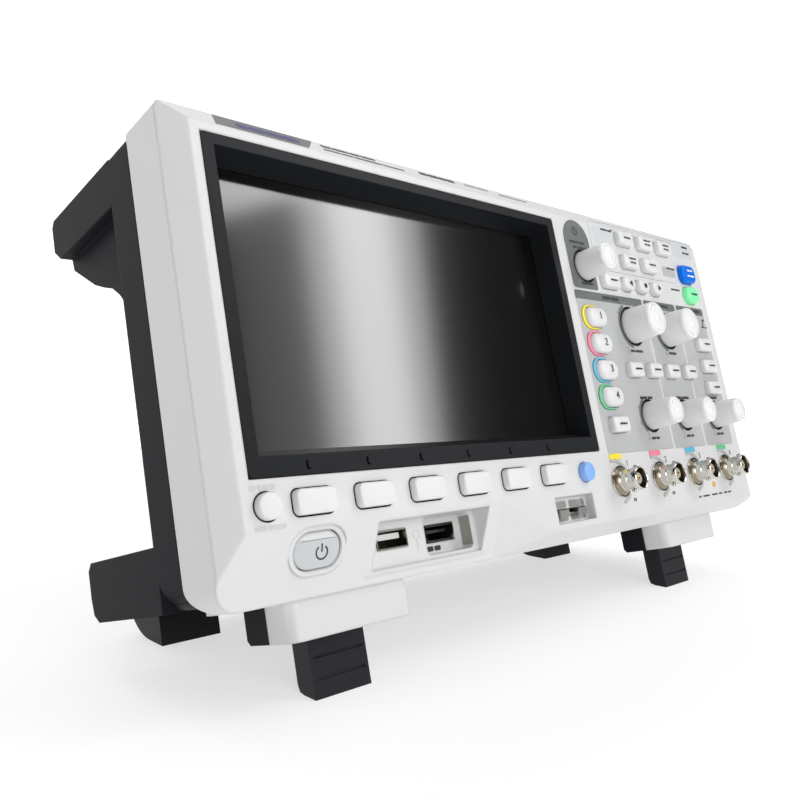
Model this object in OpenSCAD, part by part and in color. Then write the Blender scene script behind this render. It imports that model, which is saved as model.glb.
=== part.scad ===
// Bench oscilloscope standing on its fold-out front legs, as separate parts.
// Every part is written upright with the front face in the plane y = 0, X to the right,
// Y to the rear and Z up, and stand() then tilts it back onto its feet.

/* [Body] */
// Width of the housing
body_w = 312; // [310:1:314]
// Height of the housing top above the case bottom
body_top = 143.5; // [143:0.5:145]
// Depth of the light front shell
shell_d = 24; // [23.5:0.5:24]
// Wall thickness of both shells
wall = 2.6; // [2.4:0.1:2.8]
// Lower corner radius of the front shell
corner_r = 8; // [6:1:9]
// Upper corner radius of the front shell
top_corner_r = 3; // [2.5:0.5:4]
// Width of the bevel round the front face
bevel_w = 7.1; // [6.5:0.1:7.4]
// Depth of the bevel round the front face
bevel_d = 5.7; // [5:0.1:6]

/* [Display] */
// Width of the black display frame
frame_w = 166.6; // [166:0.2:167]
// Height of the black display frame
frame_h = 101.1; // [100.5:0.1:101.5]
// Visible width of the display
view_w = 154.1; // [150:0.1:155]
// Visible height of the display
view_h = 85.9; // [82:0.1:86.5]
// Distance from the front face back to the display glass
glass_y = 9.2; // [8.6:0.1:9.6]

/* [Keys and knobs] */
// How far a key stands out of the panel
key_out = 3; // [2:0.2:3.4]
// Travel of a pressed key
key_travel = 0.8; // [0.4:0.1:0.8]
// Gap round every key
key_gap = 0.3; // [0.25:0.05:0.4]
// How far a knob stands out of the panel
knob_out = 13.2; // [12:0.2:14]
// Radius of a large scale knob at its foot
big_knob_r = 8.2; // [7.8:0.1:8.4]
// Radius of a small knob at its foot
small_knob_r = 6.5; // [6.2:0.1:6.7]
// Radius of an encoder shaft
shaft_r = 3; // [2.8:0.1:3.1]
// Running clearance of knobs, shafts and hinge pins
run_gap = 0.06; // [0.04:0.01:0.08]

/* [Inputs] */
// Distance between neighbouring input jacks
jack_pitch = 32.17; // [32:0.01:32.4]
// Outer radius of a jack barrel
jack_r = 4.85; // [4.8:0.05:4.9]

/* [Stand] */
// Backward tilt with the front legs folded out
tilt = 15; // [15:1:15]
// Width of one front leg
leg_w = 22.2; // [21:0.2:22.4]
// Width of one rear foot
foot_w = 24; // [22:0.5:25]

/* [Hidden] */
$fn = 48;
eps = 0.01;

half_w = body_w / 2;
case_half = half_w - 0.4;
shell_bottom = -2.2;
face_top = body_top - bevel_w;
face_half = half_w - bevel_w;

// The lower front slope on the left, the shallow chamfer on the right and the facet between
slope_z = 17.5;
slope_run = 10;
chamfer_z = 3;
step_x = -45;
step_end_x = -17.3;
slope_k = (slope_z - shell_bottom) / slope_run;
chamfer_k = (chamfer_z - shell_bottom) / slope_run;
slope_ang = atan2(slope_run, slope_z - shell_bottom);
facet_a = [step_end_x - step_x, 0, chamfer_z - slope_z];
facet_b = [0, slope_run, shell_bottom - slope_z];
facet_n = -cross(facet_a, facet_b) / norm(cross(facet_a, facet_b));

// Rear case: main section, hood that is the handle, lower ledge and rear housing
case_y = 39.5;
case_top = 142.1;
hood_y = 88;
hood_low = 125.5;
hood_top = 140.6;
post_y = 89;
ledge_y = 123;
ledge_half = 131;
ledge_z = 19.6;
house_y = 121;
house_half = 116;
house_top = 96.5;
house_back = 88;
slot_half = 55;
slot_y0 = 50;
slot_y1 = 75;

// Stubs, legs and feet
stub_x0 = 83;
stub_x1 = 130;
stub_y0 = 13;
stub_y1 = 26;
stub_z = -14;
cheek_y = 38;
leg_x = 105.3;
leg_y0 = 26.3;
leg_t = 8.5;
pivot_y = leg_y0 + leg_t / 2;
pivot_z = -7;
tip_z = -33.4;
pin_r = 1.5;
foot_x = 115;
foot_y0 = 102;
foot_flat = 112;
foot_r = 20;
function ground(y) = tip_z + (y - leg_y0) * tan(tilt);
shift_y = -66.62;
shift_z = leg_y0 * sin(tilt) - tip_z * cos(tilt);

// Display
frame_x = -62.2;
frame_z = 82.65;
view_z = 84.45;
lip_t = 2.4;

// Control panel zones, their header bars and the zones above them
zone_z0 = 30.5;
zone_z1 = 102.4;
head_z = 98.6;
zones = [[27, 81.8], [83.2, 113], [114.4, 142.5]];
film_t = 0.5;
label_zone = [48.8, 122.5, 114.6, 136.9];

// Rows of keys: x, z, width, height, corner radius
soft_x0 = -125.75;
soft_pitch = 22.52;
function soft(i) = [soft_x0 + i * soft_pitch, 24.45, 13.9, 7.3, 1.8];
channel_z0 = 90.3;
channel_pitch = 11.85;
function channel(i) = [38.2, channel_z0 - i * channel_pitch, 14.7, 8.9, 4.45];
digital = [38.6, 42.5, 12.2, 6.8, 1.6];
lower_z = 67.1;
lower_pitch = 16.7;
function lower(i) = [60.9 + i * lower_pitch, lower_z, 10.8, 6.7, 1.6];
trigger_z0 = 82;
trigger_pitch = 11.35;
function trigger(i) = [133.1, trigger_z0 - i * trigger_pitch, 13.8, 6.7, 1.6];
upper_z = 131.4;
function upper(i) = [75.9 + i * 18.1, upper_z, 12.8, 6.9, 1.8];
middle_z = 120.1;
function middle(i) = [76.6 + i * 18.1, middle_z, 12.8, 6.9, 1.8];
auto_setup = [131.9, 119.9, 13.4, 9.2, 3];
run_stop = [131.6, 108.6, 12.6, 8.8, 4.4];
navigate = [56.2, 108.4, 12.8, 6.7, 1.8];
function arrow(i) = [70.6 + i * 12.9, 108.5, 9.8, 6.3, 3.15];
menu_at = [-141.3, 24.3];
menu_r = 3.8;
print_at = [7.6, 24];
print_r = 3.7;
keys = concat([for (i = [0:5]) soft(i)], [for (i = [0:3]) channel(i)], [digital],
  [for (i = [0:3]) lower(i)], [for (i = [0:2]) trigger(i)], [for (i = [0:2]) upper(i)],
  [for (i = [0:1]) middle(i)], [auto_setup, run_stop, navigate], [for (i = [0:2]) arrow(i)]);

// Knobs: x, z, radius at the foot
selector = [39, 114.1, small_knob_r];
vertical_scale = [68.4, 88.3, big_knob_r];
horizontal_scale = [99.9, 88, big_knob_r];
vertical_position = [67.6, 46.1, small_knob_r];
horizontal_position = [99.2, 46, small_knob_r];
trigger_level = [130.6, 45.5, small_knob_r];
knobs = [selector, vertical_scale, horizontal_scale, vertical_position, horizontal_position,
  trigger_level];
knob_back = 0.6;
pocket_d = 2;
board_y = 12;
board_t = 1.6;

// Inputs, front ports and the power key
jack_x0 = 31.5;
jack_z = 18.5;
jack_out = 10.4;
jack_rim = 8.1;
jack_neck_r = jack_r - 0.3;
jack_back_r = jack_r - 0.45;
jack_in = 20;
rear_jack = [20, 40];
port_box = [-102, -51.4, 1.9, 16.2];
port_floor = 9;
plate_box = [-76.2, -53.7, 3.3, 15.7];
plate_floor = 14;
usb_at = [-91.05, 10.5];
bus_at = [-65, 10.2];
cal_box = [-14.9, 9.7, 5.7, 15.6];
cal_d = 4;
power_x = -124.1;
power_s = 7.7;
power_w = 16.4;
power_h = 10.8;
power_lean = -8;
power_rim = 1.9;

// Rear ports and fan
inlet_at = [-82, 34];
lan_at = [-36, 40];
device_at = [-10, 40];
fan_at = [70, 50];
fan_r = 27;
fan_y0 = 101;
fan_d = 15;

light = [0.87, 0.87, 0.86];
dark = [0.2, 0.2, 0.21];
black = [0.05, 0.05, 0.06];
grey = [0.66, 0.67, 0.67];
metal = [0.75, 0.75, 0.74];
green = [0.1, 0.35, 0.2];

// ---- helpers ----
module stand()
  translate([0, shift_y, shift_z]) rotate([-tilt, 0, 0]) children();

module slab(x0, x1, y0, y1, z0, z1)
  translate([x0, y0, z0]) cube([x1 - x0, y1 - y0, z1 - z0]);

// Extrudes an X-Z outline from y0 back to y1
module front_prism(y0, y1)
  translate([0, y1, 0]) rotate([90, 0, 0]) linear_extrude(y1 - y0) children();

// Extrudes a Y-Z outline from x0 to x1
module side_prism(x0, x1)
  translate([x0, 0, 0]) rotate([90, 0, 90]) linear_extrude(x1 - x0) children();

// A cylinder along Y
module bar(x, z, y0, y1, r)
  translate([x, y1, z]) rotate([90, 0, 0]) cylinder(r = r, h = y1 - y0);

module both_sides() {
  children();
  mirror([1, 0, 0]) children();
}

// Rounded rectangle from its edges
module rounded(x0, x1, z0, z1, r) {
  tall = z1 - z0 > 2 * r + 0.05;
  translate([x0 + r, z0]) square([x1 - x0 - 2 * r, z1 - z0]);
  if (tall)
    translate([x0, z0 + r]) square([x1 - x0, z1 - z0 - 2 * r]);
  for (x = [x0 + r, x1 - r])
    for (z = tall ? [z0 + r, z1 - r] : [(z0 + z1) / 2])
      translate([x, z]) circle(r = tall ? r : (z1 - z0) / 2);
}

// Outline of a shell, with wide lower and tight upper corners
module shell_outline(x, z0, z1, low, top) {
  rounded(-x, x, z0, z1 - 20, low);
  rounded(-x, x, z0 + 20, z1, top);
}

// Outline of a key, grown by g
module key_shape(k, g = 0)
  rounded(k[0] - k[2] / 2 - g, k[0] + k[2] / 2 + g, k[1] - k[3] / 2 - g,
    k[1] + k[3] / 2 + g, k[4] + min(g, 0.8));

// ---- front shell ----
module slope_side()
  polygon([[-1, slope_z + slope_k], [-1, -8], [(slope_z + 8) / slope_k, -8]]);

module chamfer_side()
  polygon([[-1, chamfer_z + chamfer_k], [-1, -8], [(chamfer_z + 8) / chamfer_k, -8]]);

module facet_block()
  translate([step_x, 0, slope_z])
    rotate([0, acos(facet_n[2]), atan2(facet_n[1], facet_n[0])])
      translate([-200, -200, 0]) cube([400, 400, 60]);

module shell_block() {
  difference() {
    front_prism(0, shell_d)
      shell_outline(half_w, shell_bottom, body_top, corner_r, top_corner_r);
    both_sides()
      translate([0, 0, -20]) linear_extrude(200)
        polygon([[face_half, -1], [face_half, 0], [half_w, bevel_d], [half_w + 2, bevel_d],
          [half_w + 2, -1]]);
    side_prism(-half_w - 1, half_w + 1)
      polygon([[-1, face_top], [0, face_top], [bevel_d, body_top], [bevel_d, body_top + 2],
        [-1, body_top + 2]]);
    intersection() {
      side_prism(-half_w - 1, half_w + 1) slope_side();
      facet_block();
    }
    side_prism(-half_w - 1, half_w + 1) chamfer_side();
  }
}

module shell_cavity() {
  slab(-half_w + wall, half_w - wall, 11.6, shell_d + 1, 0.4, body_top - wall);
  side_prism(-half_w + wall, -8)
    polygon([[8.5, 6.3], [11.5, 0.4], [12, 0.4], [12, body_top - wall], [8.5, body_top - wall]]);
  side_prism(-8.1, half_w - wall)
    polygon([[8.5, 1.4], [10.4, 0.4], [12, 0.4], [12, body_top - wall], [8.5, body_top - wall]]);
  side_prism(-146.4, -8)
    polygon([[wall, 17.9], [8.6, 6.2], [8.6, 136], [wall, 136]]);
  side_prism(-8.1, 146.4)
    polygon([[wall, 4.5], [8.6, 1.4], [8.6, 136], [wall, 136]]);
}

// The slanted key axis frame: origin on the slope, +Z along the press direction
module on_slope(s)
  translate([power_x, s * sin(slope_ang), slope_z - s * cos(slope_ang)])
    rotate([slope_ang - 90, 0, 0]) children();

module power_outline(g)
  rounded(-power_w / 2 - g, power_w / 2 + g, -power_h / 2 - g, power_h / 2 + g,
    power_h / 2 + g - 0.2);

module film_shapes() {
  for (s = zones) rounded(s[0], s[1], zone_z0, zone_z1, 1.2);
  selector_zone();
  rounded(label_zone[0], label_zone[1], label_zone[2], label_zone[3], 2);
}

module selector_zone() {
  rounded(27.6, 46.6, 103.4, 122, 1.5);
  translate([27.6, 110]) square([10, 15.4]);
  translate([37.6, 110]) square([9, 12]);
  translate([37.1, 125.9]) circle(r = 9.5);
}

module stub() {
  difference() {
    union() {
      slab(stub_x0, stub_x1, stub_y0, stub_y1, stub_z, -0.1);
      slab(stub_x0, stub_x1, stub_y0, shell_d - 1, -1, 0.3);
    }
    for (x = [stub_x0, stub_x1])
      translate([x, stub_y0, stub_z - 1]) difference() {
        translate([-4, -4, 0]) cube([8, 8, 16]);
        translate([x == stub_x0 ? 4 : -4, 4, -1]) cylinder(r = 4, h = 18);
        translate([x == stub_x0 ? 4 : -9, -5, -1]) cube([5, 10, 18]);
        translate([-5, 4, -1]) cube([10, 5, 18]);
      }
  }
}

module front_bezel()
  stand() color(light) difference() {
    union() {
      difference() {
        shell_block();
        shell_cavity();
      }
      slab(port_box[0] - 2.4, port_box[1] + 2.4, 8.4, 10.8, 0.3, 18.4);
      intersection() {
        shell_block();
        slab(port_box[0] - 2.4, port_box[1] + 2.4, 1, 9, 0, 18.6);
      }
      slab(plate_box[0] - 2, plate_box[1] + 2, 8.4, 15.6, 0.3, 17.6);
      slab(cal_box[0] - 2, cal_box[1] + 2, 2, cal_d + 2, 3.6, 17.6);
      slab(-14.9, -8, 6, 9, 0.3, 6);
      for (k = knobs)
        bar(k[0], k[1], 2, pocket_d + 1.4, k[2] + 2.6);
      both_sides() stub();
      on_slope(power_s) rotate([power_lean, 0, 0]) linear_extrude(2.4) power_outline(power_rim);
    }
    on_slope(power_s) rotate([power_lean, 0, 0])
      translate([0, 0, -6]) linear_extrude(6) power_outline(power_rim + 0.1);
    slab(frame_x - frame_w / 2 - 0.2, frame_x + frame_w / 2 + 0.2, -1, 8,
      frame_z - frame_h / 2 - 0.2, frame_z + frame_h / 2 + 0.2);
    front_prism(-1, film_t) film_shapes();
    for (k = keys)
      front_prism(-1, 5) key_shape(k, key_gap);
    bar(menu_at[0], menu_at[1], -1, 5, menu_r + key_gap);
    bar(print_at[0], print_at[1], -1, 5, print_r + key_gap);
    for (k = knobs) {
      bar(k[0], k[1], -1, pocket_d, k[2] + 1.3);
      bar(k[0], k[1], 0, 8, shaft_r + 0.5);
    }
    for (i = [0:3])
      bar(jack_x0 + i * jack_pitch, jack_z, -1, 12, jack_r);
    slab(port_box[0], port_box[1], -1, port_floor, port_box[2], port_box[3]);
    front_prism(8, plate_floor)
      rounded(plate_box[0], plate_box[1], plate_box[2], plate_box[3], 2);
    slab(usb_at[0] - 6.7, usb_at[0] + 6.7, 8, 20, usb_at[1] - 3, usb_at[1] + 3);
    slab(bus_at[0] - 7.8, bus_at[0] + 7.8, 13, 20, bus_at[1] - 3.1, bus_at[1] + 3.1);
    slab(cal_box[0], cal_box[1], -1, cal_d, cal_box[2], cal_box[3]);
    for (x = [-8.6, 3.4])
      slab(x - 3, x + 3, 3, 8, 9.9, 10.9);
    on_slope(power_s) translate([0, 0, -3]) linear_extrude(11) power_outline(key_gap);
    both_sides()
      difference() {
        slab(half_w - 6, half_w + 1, 13.9, shell_d + 1, shell_bottom - 1, 8);
        translate([half_w - 7, 13.9, 8]) rotate([0, 90, 0]) cylinder(r = 10.2, h = 9);
      }
  }

// ---- rear case ----
module case_block() {
  intersection() {
    front_prism(shell_d, case_y)
      shell_outline(case_half, 0, case_top, corner_r + 1, top_corner_r);
    side_prism(-half_w, half_w)
      polygon([[shell_d, 0], [shell_d, case_top], [33.6, case_top],
        [33.6 + case_top - hood_top, hood_top], [case_y, hood_top], [case_y, 0]]);
  }
  side_prism(-case_half, case_half)
    polygon([[case_y - 1, hood_low], [hood_y - 4.5, hood_low], [hood_y, hood_low + 4],
      [hood_y, hood_top - 2], [hood_y - 2, hood_top], [case_y - 1, hood_top]]);
  both_sides() {
    side_prism(case_half - 10, case_half - 4.6)
      polygon([[case_y - 1, 92], [46.5, 95.5], [50.9, 101.1], [55.7, 105], [61.9, 107.6],
        [68.6, 110.9], [84, 121.8], [85, hood_low + 1.2], [case_y - 1, hood_low + 1.2]]);
    side_prism(ledge_half - 1, case_half)
      polygon([[case_y - 1, 0], [post_y - 4.5, 0], [post_y - 1, 2.5], [post_y, 7.8],
        [post_y, 17], [post_y - 2.6, ledge_z], [case_y - 1, ledge_z]]);
    for (x = [[stub_x0, leg_x - leg_w / 2 - 0.3], [leg_x + leg_w / 2 + 0.3, stub_x1]])
      side_prism(x[0], x[1])
        polygon([[stub_y1, 1], [stub_y1, stub_z], [cheek_y - 1.5, stub_z],
          [cheek_y, stub_z + 1.5], [cheek_y, 1]]);
  }
  slab(-ledge_half, ledge_half, case_y - 1, ledge_y, 0, ledge_z);
  front_prism(case_y - 1, house_y) rounded(-house_half, house_half, 10, house_top, 5);
}

module case_cavity() {
  slab(-case_half + wall, case_half - wall, shell_d - 1, case_y - wall, wall, 138);
  slab(-case_half + wall, case_half - wall, case_y - 3, post_y - 4.6, wall, ledge_z - wall);
  slab(-ledge_half + wall, ledge_half - wall, case_y - 3, ledge_y - wall, wall, ledge_z - wall);
  intersection() {
    front_prism(case_y - 3, house_y - wall)
      rounded(-house_half + wall, house_half - wall, 8, house_top - wall, 3);
    side_prism(-house_half, house_half)
      polygon([[case_y - 4, 8], [case_y - 4, house_top], [90, house_top - wall],
        [house_y, house_back - wall - 0.5], [house_y, 8]]);
  }
  both_sides()
    slab(slot_half + 6, case_half - 12, case_y - 3, hood_y - 5, hood_low + wall, 138);
}

module slope_off_back()
  side_prism(-house_half - 1, house_half + 1)
    polygon([[92, house_top], [house_y + 1, house_back - 0.3], [house_y + 1, house_top + 1],
      [92, house_top + 1]]);

module rear_case()
  stand() color(dark) difference() {
    case_block();
    case_cavity();
    slope_off_back();
    // seam groove against the front shell
    difference() {
      front_prism(shell_d - 1, shell_d + 1)
        square([2 * half_w + 2, 400], center = true);
      front_prism(shell_d - 2, shell_d + 2)
        shell_outline(case_half - 1.2, 1.2, case_top - 1.2, corner_r, top_corner_r - 1.2);
    }
    // hand slot behind the hood
    translate([0, 0, hood_low - 5]) linear_extrude(30)
      rounded(-slot_half, slot_half, slot_y0, slot_y1, 9);
    // vents: housing top, housing sides, fan grille
    for (i = [0:13])
      slab(-94.5 + i * 14, -87.5 + i * 14, 56, 86, house_top - 8, house_top + 2);
    both_sides()
      for (i = [0:6])
        slab(house_half - 5, house_half + 2, 52 + i * 9, 55.5 + i * 9, 32, 78);
    front_prism(house_y - 6, house_y + 1)
      intersection() {
        translate(fan_at) circle(r = fan_r);
        union()
          for (i = [-4:4])
            translate([fan_at[0] - 30, fan_at[1] + i * 6.6 - 2.1]) square([60, 4.2]);
      }
    // rear port windows
    front_prism(house_y - 6, house_y + 1) {
      rounded(inlet_at[0] - 13.7, inlet_at[0] + 13.7, inlet_at[1] - 10.2, inlet_at[1] + 10.2, 2);
      rounded(lan_at[0] - 8.2, lan_at[0] + 8.2, lan_at[1] - 7, lan_at[1] + 7, 0.6);
      rounded(device_at[0] - 6.3, device_at[0] + 6.3, device_at[1] - 5.6, device_at[1] + 5.6, 0.6);
      translate(rear_jack) circle(r = jack_r);
      rounded(-61.5, -54.5, 70, 73, 0.8);
    }
    // hinge pins, case screws and feet screws
    both_sides() {
      translate([stub_x0 + 3, pivot_y, pivot_z]) rotate([0, 90, 0])
        cylinder(r = pin_r + run_gap, h = stub_x1 - stub_x0 - 6);
      for (z = [34, 88])
        bar(140, z, case_y - 4, case_y + 1, 1.7);
      translate([foot_x, 112, -1]) cylinder(r = 1.7, h = 5);
    }
  }

// ---- display ----
module display_frame()
  stand() color(black) difference() {
    union() {
      front_prism(0, lip_t)
        rounded(frame_x - frame_w / 2, frame_x + frame_w / 2, frame_z - frame_h / 2,
          frame_z + frame_h / 2, 1.5);
      slab(frame_x - view_w / 2 - 3.4, frame_x + view_w / 2 + 3.4, 1, glass_y,
        view_z - view_h / 2 - 4.4, view_z + view_h / 2 + 3.4);
    }
    hull() {
      slab(frame_x - view_w / 2 - 2.2, frame_x + view_w / 2 + 2.2, -0.1, 0,
        view_z - view_h / 2 - 3.4, view_z + view_h / 2 + 2.4);
      slab(frame_x - view_w / 2 - 0.3, frame_x + view_w / 2 + 0.3, glass_y, glass_y + 0.1,
        view_z - view_h / 2 - 0.5, view_z + view_h / 2 + 0.5);
    }
  }

module lcd_panel()
  stand() color([0.35, 0.38, 0.42]) {
    slab(frame_x - view_w / 2 - 3, frame_x + view_w / 2 + 3, glass_y + 0.1, glass_y + 1.3,
      view_z - view_h / 2 - 4, view_z + view_h / 2 + 3);
    slab(frame_x - view_w / 2 - 4.5, frame_x + view_w / 2 + 4.5, glass_y + 1.3, glass_y + 5.6,
      view_z - view_h / 2 - 5.5, view_z + view_h / 2 + 4.5);
  }

// ---- films, marks and arcs on the panel ----
module control_overlay()
  stand() color(grey) {
    difference() {
      front_prism(0.02, film_t - 0.02)
        difference() {
          union() {
            for (s = zones) rounded(s[0] + 0.1, s[1] - 0.1, zone_z0 + 0.1, head_z - 0.1, 1.1);
            for (s = zones) rounded(s[0] + 0.1, s[1] - 0.1, head_z, zone_z1 - 0.1, 1.1);
            intersection() {
              selector_zone();
              rounded(27.7, 46.5, 103.5, 135.3, 1.4);
            }
            rounded(label_zone[0] + 0.1, label_zone[1] - 0.1, label_zone[2] + 0.1,
              label_zone[3] - 0.1, 1.9);
          }
          for (k = keys) key_shape(k, key_gap);
          for (k = knobs) translate([k[0], k[1]]) circle(r = k[2] + 1.3);
        }
      for (i = [0:3]) channel_arc(i, -1, 0.2);
    }
    for (i = [0:3]) {
      channel_arc(i, -0.5, 0);
      front_prism(-0.25, -0.02)
        rounded(jack_x0 + i * jack_pitch - 4.8, jack_x0 + i * jack_pitch + 4.8, 27.9, 30.3, 1.15);
    }
  }

// The coloured arc that wraps the left side of a channel key
module channel_arc(i, y0, g)
  front_prism(y0, film_t - 0.1 + g)
    difference() {
      rounded(channel(i)[0] - 9.3 - g, channel(i)[0] + 7, channel(i)[1] - 5.4 - g,
        channel(i)[1] + 5.4 + g, 5.3 + g);
      key_shape(channel(i), key_gap + 0.1 - g);
      translate([channel(i)[0] + 1.5 + g, channel(i)[1] - 10]) square([20, 20]);
    }

// ---- keys ----
module panel_key(k) {
  front_prism(-key_out, 3.4) key_shape(k);
  front_prism(3, 4.2) key_shape([k[0], k[1], k[2], k[3], k[4]], 0.9);
  bar(k[0], k[1], 4.1, board_y - key_travel - 0.3, 1.6);
}

module round_key(at, r) {
  bar(at[0], at[1], -key_out, 3.4, r);
  bar(at[0], at[1], 3, 4.2, r + 0.9);
  bar(at[0], at[1], 4.1, board_y - key_travel - 0.3, 1.6);
}

module soft_key_1() stand() color(light) panel_key(soft(0));
module soft_key_2() stand() color(light) panel_key(soft(1));
module soft_key_3() stand() color(light) panel_key(soft(2));
module soft_key_4() stand() color(light) panel_key(soft(3));
module soft_key_5() stand() color(light) panel_key(soft(4));
module soft_key_6() stand() color(light) panel_key(soft(5));
module channel_key_1() stand() color(light) panel_key(channel(0));
module channel_key_2() stand() color(light) panel_key(channel(1));
module channel_key_3() stand() color(light) panel_key(channel(2));
module channel_key_4() stand() color(light) panel_key(channel(3));
module digital_key() stand() color(light) panel_key(digital);
module math_key() stand() color(light) panel_key(lower(0));
module reference_key() stand() color(light) panel_key(lower(1));
module zoom_key() stand() color(light) panel_key(lower(2));
module roll_key() stand() color(light) panel_key(lower(3));
module trigger_setup_key() stand() color(light) panel_key(trigger(0));
module trigger_auto_key() stand() color(light) panel_key(trigger(1));
module trigger_single_key() stand() color(light) panel_key(trigger(2));
module cursor_key() stand() color(light) panel_key(upper(0));
module acquire_key() stand() color(light) panel_key(upper(1));
module measure_key() stand() color(light) panel_key(upper(2));
module save_key() stand() color(light) panel_key(middle(0));
module display_key() stand() color(light) panel_key(middle(1));
module auto_setup_key() stand() color([0.05, 0.4, 0.9]) panel_key(auto_setup);
module run_stop_key() stand() color([0.55, 0.95, 0.68]) panel_key(run_stop);
module navigate_key() stand() color(light) panel_key(navigate);
module back_key() stand() color(light) panel_key(arrow(0));
module halt_key() stand() color(light) panel_key(arrow(1));
module forward_key() stand() color(light) panel_key(arrow(2));
module menu_key() stand() color(light) round_key(menu_at, menu_r);
module print_key() stand() color([0.55, 0.75, 1]) round_key(print_at, print_r);
module power_key()
  stand() color(grey) on_slope(power_s) {
    difference() {
      translate([0, 0, -1]) linear_extrude(4.8) power_outline(0);
      rotate([power_lean, 0, 0]) translate([-15, -15, -9.75]) cube([30, 30, 10]);
    }
    translate([0, 0, 3.6]) linear_extrude(1) power_outline(0.8);
    translate([0, 0, 4.5]) cylinder(r = 1.8, h = 2.5);
  }

// ---- knobs and shafts ----
module knob(k) {
  r = k[2];
  translate([k[0], 0, k[1]]) rotate([90, 0, 0]) difference() {
    rotate_extrude()
      polygon([[0, -knob_back], [r - 0.3, -knob_back], [r, 0], [r * 0.93, knob_out - 1.2],
        [r * 0.93 - 0.5, knob_out - 0.3], [r * 0.8, knob_out], [r * 0.72, knob_out - 0.5],
        [0, knob_out - 0.2]]);
    translate([0, 0, -1]) cylinder(r = shaft_r + run_gap, h = 9.6);
  }
}

module shaft(k)
  bar(k[0], k[1], -8.2, board_y - key_travel - 0.2, shaft_r);

module selector_knob() stand() color(light) knob(selector);
module vertical_scale_knob() stand() color(light) knob(vertical_scale);
module horizontal_scale_knob() stand() color(light) knob(horizontal_scale);
module vertical_position_knob() stand() color(light) knob(vertical_position);
module horizontal_position_knob() stand() color(light) knob(horizontal_position);
module trigger_level_knob() stand() color(light) knob(trigger_level);
module selector_shaft() stand() color(metal) shaft(selector);
module vertical_scale_shaft() stand() color(metal) shaft(vertical_scale);
module horizontal_scale_shaft() stand() color(metal) shaft(horizontal_scale);
module vertical_position_shaft() stand() color(metal) shaft(vertical_position);
module horizontal_position_shaft() stand() color(metal) shaft(horizontal_position);
module trigger_level_shaft() stand() color(metal) shaft(trigger_level);

// ---- inputs and ports ----
module jack_shell(back)
  difference() {
    rotate_extrude()
      polygon([[0, -back], [jack_back_r, -back], [jack_back_r, 0.02], [7.5, 0.02], [7.5, 0.7],
        [6.3, 2.4], [jack_neck_r, 2.6], [jack_neck_r, jack_rim], [jack_r, jack_rim],
        [jack_r, jack_out - 0.4], [jack_r - 0.4, jack_out], [0, jack_out]]);
    translate([0, 0, 1]) cylinder(r = 4.05, h = 20);
  }

module jack(back) {
  difference() {
    union() {
      jack_shell(back);
      for (a = [0, 180])
        rotate([0, 0, a]) translate([0, 4.5, jack_out - 3.4]) rotate([-90, 0, 0])
          cylinder(r = 1, h = 1.3);
    }
    translate([0, 0, jack_out - 3.4]) cylinder(r = 4.05, h = 20);
  }
  difference() {
    translate([0, 0, 1]) cylinder(r = 2.4, h = jack_out - 1.8);
    translate([0, 0, 2]) cylinder(r = 0.75, h = 20);
  }
  translate([0, 0, 2.02]) cylinder(r = 0.65, h = jack_out - 4);
}

module bnc_jacks()
  stand() color(metal) {
    for (i = [0:3])
      translate([jack_x0 + i * jack_pitch, 0, jack_z]) rotate([90, 0, 0]) jack(jack_in);
    translate([rear_jack[0], house_y, rear_jack[1]]) rotate([-90, 0, 0]) jack(14);
  }

module socket_frame(x, z, w, h, y0, y1, t)
  difference() {
    slab(x - w / 2 - t, x + w / 2 + t, y0, y1, z - h / 2 - t, z + h / 2 + t);
    slab(x - w / 2, x + w / 2, y0 - 1, y1 - t, z - h / 2, z + h / 2);
  }

module front_ports()
  stand() color(metal) {
    socket_frame(usb_at[0], usb_at[1], 12.5, 5.1, port_floor - 0.3, 24, 0.35);
    slab(usb_at[0] - 5.2, usb_at[0] + 5.2, 11, 23.6, usb_at[1] + 0.1, usb_at[1] + 1.95);
    difference() {
      front_prism(plate_floor - 0.3, 26)
        polygon([for (p = [[-7.5, 2.8], [7.5, 2.8], [7.5, -0.4], [5.6, -2.8], [-5.6, -2.8],
          [-7.5, -0.4]]) bus_at + p]);
      front_prism(plate_floor - 1, 25.5)
        polygon([for (p = [[-7, 2.3], [7, 2.3], [7, -0.2], [5.3, -2.3], [-5.3, -2.3],
          [-7, -0.2]]) bus_at + p]);
    }
    slab(bus_at[0] - 5.6, bus_at[0] + 5.6, 16, 25.4, bus_at[1] + 0.2, bus_at[1] + 1.2);
    for (x = [-8.6, 3.4]) {
      slab(x - 2.8, x + 2.8, 1.2, 9, 10, 10.8);
      slab(x - 2.8, x + 2.8, 1.2, 2, 8, 10);
    }
  }

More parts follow.
